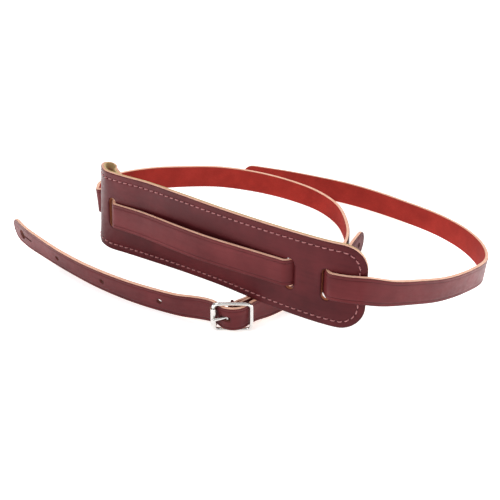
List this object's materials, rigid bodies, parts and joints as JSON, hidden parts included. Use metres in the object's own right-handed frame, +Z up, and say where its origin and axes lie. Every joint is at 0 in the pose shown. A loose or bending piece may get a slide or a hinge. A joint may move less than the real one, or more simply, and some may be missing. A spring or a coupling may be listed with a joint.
{
  "type": "guitar strap",
  "caption": "Narrow leather guitar strap with a slotted shoulder pad, a roller buckle, an adjuster strap with prong holes and slit button holes at the ends.",
  "frame": {"origin": "centre of the footprint on the surface that the strap stands on, edge down", "axes": "+X from the tail end to the right along the pad's longest way, +Y from the buckle side to the far loop, +Z up"},
  "size_m": [0.3805, 0.2835, 0.0887],
  "materials": {
    "strap_leather": "oxblood full-grain leather, satin, raw brick-red flesh side, tan cut edges",
    "pad_leather": "oxblood full-grain leather, satin, tan cut edges",
    "pad_suede": "tan suede, matt",
    "thread": "dusty pink waxed thread",
    "nickel": "polished nickel plate",
    "rivet_nickel": "polished nickel plate"
  },
  "bodies": {
    "leather": {"main_strap": "strap_leather", "adjuster_strap": "strap_leather", "pad_face": "pad_leather", "pad_lining": "pad_suede", "pad_stitching": "thread", "rivet_post": "rivet_nickel", "rivet_cap": "rivet_nickel"},
    "buckle": {"buckle_frame": "nickel"},
    "roller": {"buckle_roller": "nickel"},
    "tongue": {"buckle_tongue": "nickel"}
  },
  "joints": [
    {"name": "buckle_tilt", "type": "hinge", "parent": "leather", "child": "buckle", "pos_m": [-0.0018, -0.10182, 0.0137], "axis": [0, -0.1392, 0.9903], "range_deg": [-1.5, 1.5]},
    {"name": "roller_spin", "type": "hinge", "parent": "buckle", "child": "roller", "pos_m": [-0.015, -0.1043, 0.01335], "axis": [0, -0.1392, 0.9903], "continuous": true},
    {"name": "tongue_lift", "type": "hinge", "parent": "buckle", "child": "tongue", "pos_m": [-0.0018, -0.10182, 0.0137], "axis": [0, -0.1392, 0.9903], "range_deg": [0, 12]}
  ]
}
